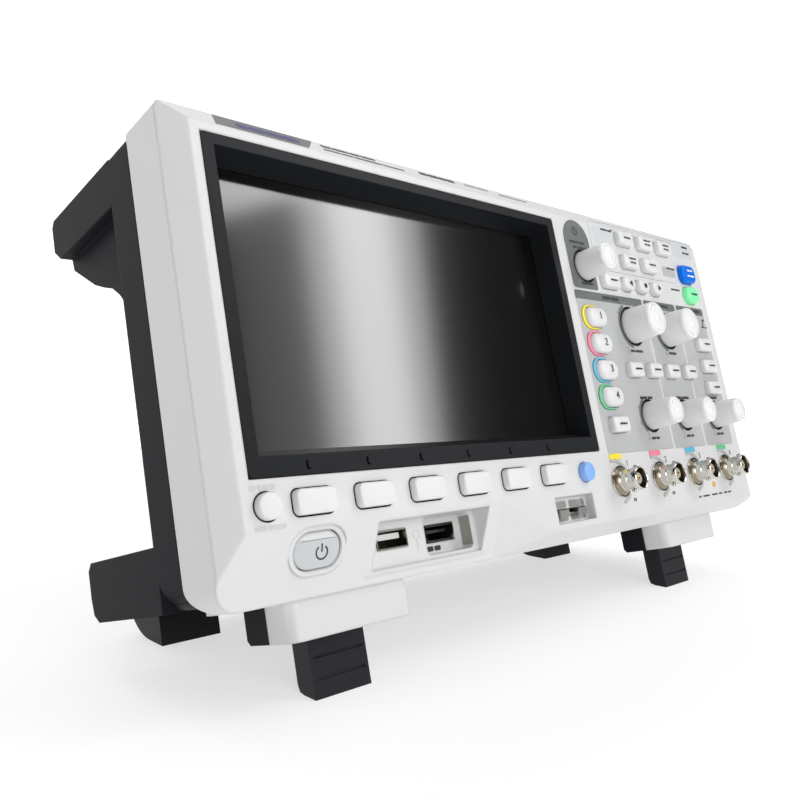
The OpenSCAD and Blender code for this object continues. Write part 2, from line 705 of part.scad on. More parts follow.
module rear_ports()
  stand() {
    color(black) {
      difference() {
        union() {
          front_prism(house_y - 24, house_y - 2.7)
            rounded(inlet_at[0] - 14.6, inlet_at[0] + 14.6, inlet_at[1] - 11.2,
              inlet_at[1] + 11.2, 1.5);
          front_prism(house_y - 3, house_y + 0.8)
            rounded(inlet_at[0] - 13.4, inlet_at[0] + 13.4, inlet_at[1] - 9.9,
              inlet_at[1] + 9.9, 1.8);
        }
        front_prism(house_y - 18, house_y + 2)
          polygon([for (p = [[-12, -8], [12, -8], [12, 4.5], [8.5, 8], [-8.5, 8], [-12, 4.5]])
            inlet_at + p]);
      }
      for (p = [[-7, -1], [7, -1], [0, 3]])
        slab(inlet_at[0] + p[0] - 1, inlet_at[0] + p[0] + 1, house_y - 18.1, house_y - 4,
          inlet_at[1] + p[1] - 2, inlet_at[1] + p[1] + 2);
    }
    color(metal) {
      socket_frame_rear(lan_at, 12, 8.6, 15.8, 13.4, 17);
      socket_frame_rear(device_at, 8.6, 7.9, 12, 10.6, 14);
      slab(device_at[0] - 2.8, device_at[0] + 2.8, house_y - 13.1, house_y - 2,
        device_at[1] - 1.6, device_at[1] + 1.6);
    }
  }

// A socket body that opens to the rear: inside width and height, outside width and height
module socket_frame_rear(at, w, h, ow, oh, d)
  difference() {
    slab(at[0] - ow / 2, at[0] + ow / 2, house_y - d, house_y + 0.4, at[1] - oh / 2,
      at[1] + oh / 2);
    slab(at[0] - w / 2, at[0] + w / 2, house_y - d + 1, house_y + 2, at[1] - h / 2,
      at[1] + h / 2);
  }

// ---- legs and feet ----
module leg_shape() {
  translate([pivot_y, pivot_z]) circle(r = leg_t / 2);
  polygon([[leg_y0, pivot_z], [leg_y0, tip_z], [leg_y0 + 5.7, ground(leg_y0 + 5.7)],
    [leg_y0 + 7.8, ground(leg_y0 + 5.7) + 1], [leg_y0 + leg_t, ground(leg_y0 + 5.7) + 3.2],
    [leg_y0 + leg_t, pivot_z]]);
}

module leg()
  difference() {
    side_prism(leg_x - leg_w / 2, leg_x + leg_w / 2) leg_shape();
    translate([leg_x - 20, pivot_y, pivot_z]) rotate([0, 90, 0])
      cylinder(r = pin_r + run_gap, h = 40);
    for (z = [-20.8, -27.5])
      slab(leg_x - leg_w / 2 + 1.4, leg_x + leg_w / 2 - 1.4, leg_y0 - 1, leg_y0 + 0.7,
        z - 0.45, z + 0.45);
  }

module leg_left() stand() color(black) mirror([1, 0, 0]) leg();
module leg_right() stand() color(black) leg();

module foot_shape()
  intersection() {
    union() {
      polygon([[foot_y0, 20], [foot_y0, ground(foot_y0)], [foot_flat, ground(foot_flat)],
        [foot_flat - foot_r * sin(tilt), ground(foot_flat) + foot_r * cos(tilt)],
        [foot_flat - foot_r * sin(tilt), 20]]);
      translate([foot_flat - foot_r * sin(tilt), ground(foot_flat) + foot_r * cos(tilt)])
        intersection() {
          circle(r = foot_r, $fn = 96);
          translate([0, -foot_r - 1]) square([foot_r + 1, 2 * foot_r]);
        }
    }
    translate([foot_y0 - 1, -20]) square([40, 19.98]);
  }

module rear_feet()
  stand() color(black) both_sides()
    difference() {
      side_prism(foot_x - foot_w / 2, foot_x + foot_w / 2) foot_shape();
      translate([foot_x, 112, -20]) cylinder(r = 3.4, h = 15);
      translate([foot_x, 112, -20]) cylinder(r = 1.7, h = 25);
    }

// ---- boards, power supply, fan ----
module circuit_boards()
  stand() color(green) {
    difference() {
      union() {
        slab(25, 146, board_y, board_y + board_t, 33, 138);
        for (k = knobs)
          slab(k[0] - 5.5, k[0] + 5.5, 6, board_y, k[1] - 5.5, k[1] + 5.5);
      }
      for (k = knobs)
        bar(k[0], k[1], 5, board_y, shaft_r + run_gap);
    }
    slab(-150, 16, board_y, board_y + board_t, 18.8, 30);
    difference() {
      slab(-150, 150, 28, 28 + board_t, 4, 134);
      slab(-62, 20, 27, 31, 40, 120);
    }
    slab(30, 134, 28 + board_t, 36, 8, 60);
    slab(30, 90, 28 + board_t, 36, 70, 110);
    for (i = [0:3])
      slab(jack_x0 + i * jack_pitch - 5, jack_x0 + i * jack_pitch + 5, 21, 28, 12, 25);
  }

module power_supply()
  stand() color(metal) {
    slab(-108, -10, 44, 45.6, 8, 90);
    difference() {
      slab(-100, -54, 48, 90, 52, 90);
      slab(-98.8, -55.2, 44, 91, 53.2, 88.8);
    }
    slab(-92, -70, 52, 76, 58, 84);
    slab(-46, -18, 45.6, 70, 50, 82);
    bar(-32, 25, 45.6, 68, 11);
  }

module fan_frame()
  stand() color(black) difference() {
    slab(fan_at[0] - 30, fan_at[0] + 30, fan_y0, fan_y0 + fan_d, fan_at[1] - 30, fan_at[1] + 30);
    difference() {
      bar(fan_at[0], fan_at[1], fan_y0 - 1, fan_y0 + fan_d + 1, 28.6);
      slab(fan_at[0] - 30, fan_at[0] + 30, fan_y0, fan_y0 + 2.4, fan_at[1] - 1.6, fan_at[1] + 1.6);
      slab(fan_at[0] - 1.6, fan_at[0] + 1.6, fan_y0, fan_y0 + 2.4, fan_at[1] - 30, fan_at[1] + 30);
      bar(fan_at[0], fan_at[1], fan_y0, fan_y0 + 2.4, 12);
      bar(fan_at[0], fan_at[1], fan_y0, fan_y0 + 7, 2);
    }
    for (x = [-25, 25])
      for (z = [-25, 25])
        bar(fan_at[0] + x, fan_at[1] + z, fan_y0 - 1, fan_y0 + fan_d + 1, 2.1);
  }

module fan_rotor()
  stand() color([0.12, 0.12, 0.13])
    translate([fan_at[0], fan_y0, fan_at[1]]) rotate([-90, 0, 0]) {
      difference() {
        translate([0, 0, 3]) cylinder(r = 13, h = 11);
        translate([0, 0, 2]) cylinder(r = 2 + run_gap, h = 6);
        difference() {
          translate([0, 0, 2]) cylinder(r = 11.5, h = 8);
          translate([0, 0, 1]) cylinder(r = 4, h = 12);
        }
      }
      for (i = [0:6])
        rotate([0, 0, i * 360 / 7]) translate([12.4, -0.8, 4]) rotate([38, 0, 0])
          cube([14, 1.4, 10]);
    }

module screw(l) {
  cylinder(r = 2.8, h = 1.8);
  translate([0, 0, -l]) cylinder(r = 1.5, h = l + 0.2);
}

module fasteners()
  stand() color(metal) {
    both_sides() {
      translate([stub_x0 + 3.1, pivot_y, pivot_z]) rotate([0, 90, 0])
        cylinder(r = pin_r, h = stub_x1 - stub_x0 - 6.2);
      for (z = [34, 88])
        translate([140, case_y + 0.02, z]) rotate([-90, 0, 0]) screw(8);
      translate([foot_x, 112, -5.02]) rotate([180, 0, 0]) screw(7);
    }
    for (x = [-25, 25])
      for (z = [-25, 25])
        translate([fan_at[0] + x, fan_y0 - 0.02, fan_at[1] + z]) rotate([90, 0, 0]) screw(15);
    for (x = [-144, 144])
      for (z = [10, 128])
        translate([x, 28 + board_t + 0.02, z]) rotate([-90, 0, 0]) cylinder(r = 2.8, h = 1.8);
  }

front_bezel();
rear_case();
display_frame();
lcd_panel();
control_overlay();
bnc_jacks();
front_ports();
rear_ports();
rear_feet();
circuit_boards();
power_supply();
fan_frame();
fasteners();
fan_rotor();
leg_left();
leg_right();
power_key();
menu_key();
print_key();
soft_key_1();
soft_key_2();
soft_key_3();
soft_key_4();
soft_key_5();
soft_key_6();
channel_key_1();
channel_key_2();
channel_key_3();
channel_key_4();
digital_key();
math_key();
reference_key();
zoom_key();
roll_key();
trigger_setup_key();
trigger_auto_key();
trigger_single_key();
cursor_key();
acquire_key();
measure_key();
save_key();
display_key();
auto_setup_key();
run_stop_key();
navigate_key();
back_key();
halt_key();
forward_key();
selector_knob();
vertical_scale_knob();
horizontal_scale_knob();
vertical_position_knob();
horizontal_position_knob();
trigger_level_knob();
selector_shaft();
vertical_scale_shaft();
horizontal_scale_shaft();
vertical_position_shaft();
horizontal_position_shaft();
trigger_level_shaft();
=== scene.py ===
"""Looks of a bench oscilloscope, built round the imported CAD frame."""

import math

import bmesh
import bpy
from mathutils import Matrix, Vector


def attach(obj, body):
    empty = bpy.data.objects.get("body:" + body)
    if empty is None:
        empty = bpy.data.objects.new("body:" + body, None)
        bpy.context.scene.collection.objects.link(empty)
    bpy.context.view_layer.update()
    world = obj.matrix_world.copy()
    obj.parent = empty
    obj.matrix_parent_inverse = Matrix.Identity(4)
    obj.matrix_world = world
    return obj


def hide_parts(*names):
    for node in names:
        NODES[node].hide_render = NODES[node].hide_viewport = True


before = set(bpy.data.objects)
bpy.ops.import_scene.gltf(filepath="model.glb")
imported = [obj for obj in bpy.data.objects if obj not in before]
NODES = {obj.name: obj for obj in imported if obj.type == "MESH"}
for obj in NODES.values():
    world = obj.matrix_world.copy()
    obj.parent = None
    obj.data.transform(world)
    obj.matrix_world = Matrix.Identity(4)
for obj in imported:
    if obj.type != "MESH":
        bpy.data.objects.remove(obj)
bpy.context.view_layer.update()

# The instrument is drawn upright in millimetres, front face at y = 0, and stands tilted back
MM = 0.001
TILT = math.radians(15)
LEG_TIP_Y, LEG_TIP_DROP = 26.3, 33.4  # the leg tips' front edge, and how far it is below the case
CENTRE_Y = 66.62  # brings the middle of the tilted instrument to y = 0
LIFT = LEG_TIP_Y * math.sin(TILT) + LEG_TIP_DROP * math.cos(TILT)
STAND = (
    Matrix.Scale(MM, 4)
    @ Matrix.Translation((0, -CENTRE_Y, LIFT))
    @ Matrix.Rotation(-TILT, 4, "X")
)

# Places that more than one part of the script uses
JACK_X, JACK_Z, JACK_PITCH = 31.5, 18.5, 32.17
SOFT_X, SOFT_PITCH = -125.75, 22.52
CHANNEL_Z, CHANNEL_PITCH = 90.3, 11.85
SHARP = math.radians(32)  # edges turn sharp at this angle
PRINT = 0.02  # a printed mark starts this far behind the face it is on


# ---------- materials ----------
def material(
    name,
    colour,
    rough,
    metal=0.0,
    grain=0.0,
    size=0.0006,
    tint=0.02,
    spread=0.05,
    coat=0.0,
    edge=0.0,
    glow=0.0,
    spec=0.5,
):
    """Moulded plastic, rubber or metal: broad colour drift, fine roughness and bump at grain size."""
    m = bpy.data.materials.new(name)
    m.use_nodes = True
    tree = m.node_tree
    new, link = tree.nodes.new, tree.links.new
    bsdf = tree.nodes["Principled BSDF"]
    bsdf.inputs["Metallic"].default_value = metal
    bsdf.inputs["Specular IOR Level"].default_value = spec
    bsdf.inputs["Coat Weight"].default_value = coat
    bsdf.inputs["Coat Roughness"].default_value = 0.08
    coord = new("ShaderNodeTexCoord")
    broad = new("ShaderNodeTexNoise")
    broad.inputs["Scale"].default_value = 18
    broad.inputs["Detail"].default_value = 4
    fine = new("ShaderNodeTexNoise")
    fine.inputs["Scale"].default_value = 1 / size
    fine.inputs["Detail"].default_value = 3
    link(coord.outputs["Object"], broad.inputs["Vector"])
    link(coord.outputs["Object"], fine.inputs["Vector"])
    mix = new("ShaderNodeMix")
    mix.data_type = "RGBA"
    low = [max(c * (1 - tint), 0) for c in colour]
    high = [min(c * (1 + tint), 1) for c in colour]
    mix.inputs["A"].default_value = (*low, 1)
    mix.inputs["B"].default_value = (*high, 1)
    link(broad.outputs["Fac"], mix.inputs["Factor"])
    link(mix.outputs["Result"], bsdf.inputs["Base Color"])
    span = new("ShaderNodeMapRange")
    span.inputs["To Min"].default_value = max(rough - spread, 0.02)
    span.inputs["To Max"].default_value = min(rough + spread, 1)
    link(fine.outputs["Fac"], span.inputs["Value"])
    link(span.outputs["Result"], bsdf.inputs["Roughness"])
    bump = new("ShaderNodeBump")
    bump.inputs["Strength"].default_value = max(grain, 0.02)
    bump.inputs["Distance"].default_value = size * 0.15
    link(fine.outputs["Fac"], bump.inputs["Height"])
    if edge:
        bevel = new("ShaderNodeBevel")
        bevel.samples = 6
        bevel.inputs["Radius"].default_value = edge
        link(bevel.outputs["Normal"], bump.inputs["Normal"])
    link(bump.outputs["Normal"], bsdf.inputs["Normal"])
    if glow:
        bsdf.inputs["Emission Color"].default_value = (*colour, 1)
        bsdf.inputs["Emission Strength"].default_value = glow
    return m


SHELL = material("shell_white", (0.685, 0.685, 0.685), 0.42, grain=0.25, size=0.0005, edge=0.0014)
CASE = material(
    "case_dark", (0.009, 0.0085, 0.012), 0.6, grain=0.6, size=0.0007, tint=0.06, edge=0.0008, spec=0.14
)
BLACK = material(
    "frame_black", (0.010, 0.011, 0.013), 0.42, grain=0.15, size=0.0004, edge=0.0005, spec=0.15
)
GLASS = material(
    "display_glass", (0.001, 0.0011, 0.0014), 0.11, grain=0.03, size=0.0003, spread=0.005, spec=1.0
)
PANEL = material("panel_grey", (0.46, 0.465, 0.47), 0.48, grain=0.2, size=0.0004)
HEADER = material("header_grey", (0.135, 0.148, 0.148), 0.48, grain=0.2, size=0.0004)
LABEL = material("label_grey", (0.66, 0.665, 0.67), 0.48, grain=0.2, size=0.0004)
WINDOW = material("window_grey", (0.60, 0.63, 0.655), 0.40, grain=0.2, size=0.0004)
# painted shade: near-black brown for the gaps round the keys, which are dark only from their depth
SEAM_SHADE = material("key_seam_shade", (0.016, 0.010, 0.007), 0.8, grain=0.2, spec=0.05)
# painted shade: flat black for marks and slots that are dark only from their depth
PIT_SHADE = material("pit_shade_black", (0.002, 0.002, 0.002), 0.9, grain=0.2, spec=0.0)
# painted shade: the floor and wall of the gap round each knob, coloured near-black
WELL_SHADE = material("knob_well_shade", (0.03, 0.03, 0.03), 0.6, grain=0.2)
# painted shade: grey-brown for the port recess's side wall
WALL_SHADE = material("recess_side_shade", (0.34, 0.33, 0.30), 0.5, grain=0.2)
KEY = material("key_white", (0.75, 0.75, 0.755), 0.36, grain=0.15, size=0.0004)
KEY_BLUE = material("key_blue", (0.0, 0.14, 0.64), 0.36, grain=0.1, glow=0.2, spec=0.15)
KEY_GREEN = material("key_green", (0.22, 0.82, 0.38), 0.32, grain=0.1, glow=0.2)
KEY_PALE = material("key_pale_blue", (0.24, 0.46, 0.90), 0.34, grain=0.1)
KEY_GREY = material("key_grey", (0.54, 0.56, 0.575), 0.38, grain=0.15)
KNOB = material("knob_plastic", (0.84, 0.84, 0.84), 0.45, grain=0.25, size=0.0004)
CAP = material("knob_cap", (0.86, 0.86, 0.86), 0.30, grain=0.1)
CHROME = material("jack_nickel", (0.64, 0.62, 0.57), 0.14, metal=1.0, grain=0.05, tint=0.05)
# painted reflection and shade: the jacks' nickel drawn dark brown where it mirrors the dark room, and
# inside the barrel
NICKEL_SHADE = material("jack_shade_and_reflection", (0.30, 0.26, 0.19), 0.3, metal=1.0, grain=0.05, tint=0.05)
GOLD = material("contact_gold", (0.80, 0.58, 0.25), 0.22, metal=1.0, grain=0.05)
TEFLON = material("insulator", (0.42, 0.39, 0.33), 0.40, grain=0.1)
STEEL = material("port_steel", (0.55, 0.54, 0.52), 0.30, metal=1.0, grain=0.15, tint=0.06)
DARK_STEEL = material("shell_steel", (0.16, 0.155, 0.13), 0.28, metal=1.0, grain=0.15, tint=0.06)
TONGUE = material("socket_tongue", (0.75, 0.75, 0.74), 0.4, grain=0.1)
SOCKET = material("port_black", (0.012, 0.012, 0.012), 0.38, grain=0.2)
RUBBER = material(
    "foot_rubber", (0.004, 0.004, 0.006), 0.5, grain=0.5, size=0.0008, tint=0.1, spec=0.3
)
LEG = material(
    "leg_black", (0.007, 0.0072, 0.011), 0.46, grain=0.35, size=0.0005, edge=0.0005, spec=0.3
)
BOARD = material("board_green", (0.02, 0.15, 0.07), 0.35, grain=0.2)
SUPPLY = material("supply_aluminium", (0.60, 0.60, 0.60), 0.35, metal=1.0, grain=0.2)
FAN = material("fan_black", (0.014, 0.014, 0.015), 0.45, grain=0.2)
SCREW = material("screw_steel", (0.30, 0.30, 0.31), 0.35, metal=1.0, grain=0.15)
SHAFT = material("shaft_metal", (0.60, 0.60, 0.60), 0.3, metal=1.0, grain=0.1)
INK = material("ink_dark", (0.030, 0.032, 0.036), 0.5, grain=0.1)
INK_BLUE = material("ink_blue", (0.035, 0.035, 0.16), 0.5, grain=0.1)
INK_GREY = material("ink_grey", (0.26, 0.27, 0.28), 0.5, grain=0.1)
INK_WHITE = material("ink_white", (0.80, 0.82, 0.86), 0.45, grain=0.1)
INK_PALE = material("ink_pale", (0.58, 0.58, 0.58), 0.5, grain=0.1)
STRIP = material("strip_grey", (0.085, 0.088, 0.098), 0.4, grain=0.1)
AMBER = material("mark_amber", (0.70, 0.42, 0.06), 0.42, grain=0.1)
CHANNELS = [
    material("mark_yellow", (0.92, 0.76, 0.05), 0.42, grain=0.1),
    material("mark_pink", (0.90, 0.24, 0.36), 0.42, grain=0.1),
    material("mark_blue", (0.11, 0.50, 0.70), 0.42, grain=0.1),
    material("mark_green", (0.14, 0.56, 0.27), 0.42, grain=0.1),
]


# ---------- mesh helpers ----------
def is_soft(edge):
    return len(edge.link_faces) == 2 and edge.calc_face_angle(0) < SHARP


class Shape:
    """Collects faces in the upright millimetre frame, then makes one object of them."""

    def __init__(self):
        self.bm = bmesh.new()
        self.mats = []

    def mat(self, m):
        if m not in self.mats:
            self.mats.append(m)
        return self.mats.index(m)

    def skin(self, rings, m, start=True, end=True, smooth=True):
        """Joins rings of points with quads, and closes the first and last with a fan."""
        k = self.mat(m)
        loops = [[self.bm.verts.new(p) for p in ring] for ring in rings]
        n = len(loops[0])
        for a, b in zip(loops, loops[1:]):
            for i in range(n):
                f = self.bm.faces.new((a[i], a[(i + 1) % n], b[(i + 1) % n], b[i]))
                f.material_index = k
                f.smooth = smooth
        for ring, wanted in ((loops[0][::-1], start), (loops[-1], end)):
            if wanted:
                f = self.bm.faces.new(ring)
                f.material_index = k
                f.smooth = smooth

    def place(self, matrix):
        """Moves all that is drawn so far, such as from a slanted face's frame to the upright one."""
        bmesh.ops.transform(self.bm, matrix=matrix, verts=self.bm.verts)

    def make(self, name, body, slot, *nodes):
        bmesh.ops.transform(self.bm, matrix=STAND, verts=self.bm.verts)
        bmesh.ops.recalc_face_normals(self.bm, faces=self.bm.faces)
        for e in self.bm.edges:
            e.smooth = is_soft(e)
        mesh = bpy.data.meshes.new(name)
        self.bm.to_mesh(mesh)
        self.bm.free()
        for m in self.mats:
            mesh.materials.append(m)
        obj = bpy.data.objects.new(name, mesh)
        bpy.context.scene.collection.objects.link(obj)
        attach(obj, body)
        if nodes:
            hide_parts(*nodes)


def rounded(cx, cz, w, h, r, n=7):
    """Outline of a rounded rectangle in X and Z."""
    r = max(min(r, w / 2 - 0.001, h / 2 - 0.001), 0.01)
    out = []
    for qx, qz, start in ((1, 1, 0), (-1, 1, 90), (-1, -1, 180), (1, -1, 270)):
        for i in range(n + 1):
            a = math.radians(start + 90 * i / n)
            x = cx + qx * (w / 2 - r) + r * math.cos(a)
            z = cz + qz * (h / 2 - r) + r * math.sin(a)
            out.append((x, z))
    return out


def at_y(outline, y):
    return [(x, y, z) for x, z in outline]


def pad(shape, cx, cz, w, h, r, y, top, m, soft, dome):
    """A key cap: straight sides from y forward to top, a rounded edge and a slightly domed face."""
    rings = [at_y(rounded(cx, cz, w, h, r), y)]
    for i in range(6):
        a = math.radians(18 * i)
        inset, rise = soft * (1 - math.cos(a)), soft * math.sin(a)
        ring = rounded(cx, cz, w - 2 * inset, h - 2 * inset, r - inset * 0.8)
        rings.append(at_y(ring, top + dome + soft - rise))
    last = rings[-1]
    for s in (0.8, 0.55, 0.25):
        ring = [(cx + (x - cx) * s, yy - dome * (1 - s * s), cz + (z - cz) * s) for x, yy, z in last]
        rings.append(ring)
    shape.skin(rings, m)


def bar(shape, x0, x1, z0, z1, y, m, thick=0.06, r=0.0):
    """A thin printed bar on a face at y."""
    w, h = x1 - x0, z1 - z0
    outline = rounded((x0 + x1) / 2, (z0 + z1) / 2, w, h, r or min(w, h) * 0.3, 3)
    shape.skin([at_y(outline, y + PRINT), at_y(outline, y - thick)], m, smooth=False)


def dashes(shape, x, z, w, y, m, h=0.75, parts=(0.3, 0.5, 0.2), gap=0.45):
    """A line of short bars in place of a printed word, starting at x."""
    free = w - gap * (len(parts) - 1)
    for p in parts:
        bar(shape, x, x + free * p, z - h / 2, z + h / 2, y, m)
        x += free * p + gap


def turned(shape, centre, profile, m, n=64, axis=-1, start=True, end=True, wave=None):
    """Turns a profile of (distance out, radius) about the axis that leaves the panel."""
    cx, y, cz = centre
    rings = []
    for t, r in profile:
        ring = []
        for i in range(n):
            a = 2 * math.pi * i / n
            rr = r + (wave(a, t, r) if wave else 0)
            ring.append((cx + rr * math.cos(a), y + axis * t, cz + rr * math.sin(a)))
        rings.append(ring)
    shape.skin(rings, m, start, end)


def stroke(shape, points, width, y, m, thick=0.06):
    """A thin printed line of constant width along points in X and Z."""
    left, right = [], []
    for i, (x, z) in enumerate(points):
        ax, az = points[max(i - 1, 0)]
        bx, bz = points[min(i + 1, len(points) - 1)]
        d = math.hypot(bx - ax, bz - az) or 1
        nx, nz = -(bz - az) / d * width / 2, (bx - ax) / d * width / 2
        left.append((x + nx, z + nz))
        right.append((x - nx, z - nz))
    k = shape.mat(m)
    rows = []
    for (lx, lz), (rx, rz) in zip(left, right):
        back, front = y + PRINT, y - thick
        section = ((lx, back, lz), (lx, front, lz), (rx, front, rz), (rx, back, rz))
        rows.append([shape.bm.verts.new(p) for p in section])
    for a, b in zip(rows, rows[1:]):
        for i in range(4):
            shape.bm.faces.new((a[i], a[(i + 1) % 4], b[(i + 1) % 4], b[i])).material_index = k
    shape.bm.faces.new(rows[0][::-1]).material_index = k
    shape.bm.faces.new(rows[-1]).material_index = k


def arc(cx, cz, r, a0, a1, n=24):
    """Points on an arc in X and Z, from a0 to a1 degrees."""
    turns = [math.radians(a0 + (a1 - a0) * i / n) for i in range(n + 1)]
    return [(cx + r * math.cos(a), cz + r * math.sin(a)) for a in turns]


def digit(text, x, z, size, y, m, body, name):
    """A plain numeral, printed on the panel or on a key."""
    curve = bpy.data.curves.new(name, "FONT")
    curve.body = text
    curve.size = size * MM
    curve.extrude = 0.00003
    curve.align_x = "CENTER"
    curve.align_y = "CENTER"
    obj = bpy.data.objects.new(name, curve)
    bpy.context.scene.collection.objects.link(obj)
    place = Matrix.Translation(STAND @ Vector((x, y, z)))
    upright = Matrix.Rotation(math.pi / 2, 4, "X")
    obj.matrix_world = place @ Matrix.Rotation(-TILT, 4, "X") @ upright
    curve.materials.append(m)
    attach(obj, body)


def paint(node, m):
    obj = NODES[node]
    if not obj.material_slots:
        obj.data.materials.append(m)
    for s in obj.material_slots:
        s.material = m


def remake(node, name, pick):
    """A smooth-shaded copy of a CAD node's skin; pick gives each loose part its material."""
    src = NODES[node]
    bm = bmesh.new()
    bm.from_mesh(src.data)
    bmesh.ops.remove_doubles(bm, verts=bm.verts, dist=2e-6)
    bmesh.ops.dissolve_limit(bm, angle_limit=math.radians(0.6), verts=bm.verts, edges=bm.edges)
    back = STAND.inverted()
    mats = []
    seen = set()
    for f in bm.faces:
        if f in seen:
            continue
        island, queue = [], [f]
        seen.add(f)
        while queue:
            g = queue.pop()
            island.append(g)
            for e in g.edges:
                for h in e.link_faces:
                    if h not in seen:
                        seen.add(h)
                        queue.append(h)
        pts = [back @ v.co for g in island for v in g.verts]
        low = [min(p[i] for p in pts) for i in range(3)]
        high = [max(p[i] for p in pts) for i in range(3)]
        m = pick(low, high)
        if m not in mats:
            mats.append(m)
        for g in island:
            g.material_index = mats.index(m)
            g.smooth = True
    for e in bm.edges:
        e.smooth = is_soft(e)
    mesh = bpy.data.meshes.new(name)
    bm.to_mesh(mesh)
    bm.free()
    for m in mats:
        mesh.materials.append(m)
    obj = bpy.data.objects.new(name, mesh)
    bpy.context.scene.collection.objects.link(obj)
    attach(obj, "housing")
    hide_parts(node)


# ---------- the CAD shells and inner parts ----------
for node, m in (
    ("front_bezel", SHELL),
    ("rear_case", CASE),
    ("display_frame", BLACK),
    ("lcd_panel", GLASS),
    ("rear_feet", RUBBER),
    ("circuit_boards", BOARD),
    ("power_supply", SUPPLY),
    ("fan_frame", FAN),
    ("fan_rotor", FAN),
    ("fasteners", SCREW),
    ("leg_left", LEG),
    ("leg_right", LEG),
):
    paint(node, m)


def overlay_material(low, high):
    cx, cz = (low[0] + high[0]) / 2, (low[2] + high[2]) / 2
    if low[1] < -0.4:
        return CHANNELS[round((CHANNEL_Z - cz) / CHANNEL_PITCH)]
    if low[1] < -0.2:
        return CHANNELS[round((cx - JACK_X) / JACK_PITCH)]
    if cz > 104 and cx < 48:
        return HEADER
    if cz > 110:
        return LABEL
    if cz > 97:
        return HEADER
    return PANEL


remake("control_overlay", "control_film", overlay_material)


def port_material(low, high):
    if low[0] > -50:
        return STEEL
    if low[0] > -80:
        return SOCKET
    return TONGUE if high[2] - low[2] < 2.2 else DARK_STEEL


remake("front_ports", "front_sockets", port_material)


def rear_material(low, high):
    return SOCKET if low[0] < -60 else STEEL


remake("rear_ports", "rear_sockets", rear_material)


# ---------- keys: x, z, width, height and corner radius of each cap ----------
KEY_OUT = 3.0
SOFT = [(SOFT_X + SOFT_PITCH * i, 24.45, 13.9, 7.3, 1.8) for i in range(6)]
CHANNEL = [(38.2, CHANNEL_Z - CHANNEL_PITCH * i, 14.7, 8.9, 4.45) for i in range(4)]
LOWER = [(60.9 + 16.7 * i, 67.1, 10.8, 6.7, 1.6) for i in range(4)]
TRIGGER = [(133.1, 82 - 11.35 * i, 13.8, 6.7, 1.6) for i in range(3)]
UPPER = [(75.9 + 18.1 * i, 131.4, 12.8, 6.9, 1.8) for i in range(3)]
MIDDLE = [(76.6 + 18.1 * i, 120.1, 12.8, 6.9, 1.8) for i in range(2)]
ARROW = [(70.6 + 12.9 * i, 108.5, 9.8, 6.3, 3.15) for i in range(3)]
KEYS = {"digital_key": (38.6, 42.5, 12.2, 6.8, 1.6), "auto_setup_key": (131.9, 119.9, 13.4, 9.2, 3)}
KEYS["run_stop_key"] = (131.6, 108.6, 12.6, 8.8, 4.4)
KEYS["navigate_key"] = (56.2, 108.4, 12.8, 6.7, 1.8)
KEYS["menu_key"] = (-141.3, 24.3, 7.6, 7.6, 3.8)
KEYS["print_key"] = (7.6, 24, 7.4, 7.4, 3.7)
for i, k in enumerate(SOFT):
    KEYS[f"soft_key_{i + 1}"] = k
for i, k in enumerate(CHANNEL):
    KEYS[f"channel_key_{i + 1}"] = k
for name, k in zip(("math_key", "reference_key", "zoom_key", "roll_key"), LOWER):
    KEYS[name] = k
for name, k in zip(("trigger_setup_key", "trigger_auto_key", "trigger_single_key"), TRIGGER):
    KEYS[name] = k
for name, k in zip(("cursor_key", "acquire_key", "measure_key"), UPPER):
    KEYS[name] = k
for name, k in zip(("save_key", "display_key"), MIDDLE):
    KEYS[name] = k
for name, k in zip(("back_key", "halt_key", "forward_key"), ARROW):
    KEYS[name] = k
KEY_FINISH = {
    "auto_setup_key": (KEY_BLUE, "key_blue"),
    "run_stop_key": (KEY_GREEN, "key_green"),
    "print_key": (KEY_PALE, "key_pale_blue"),
}
PLAIN = ("menu_key", "print_key", "soft_key", "channel_key", "back_key", "halt_key", "forward_key")
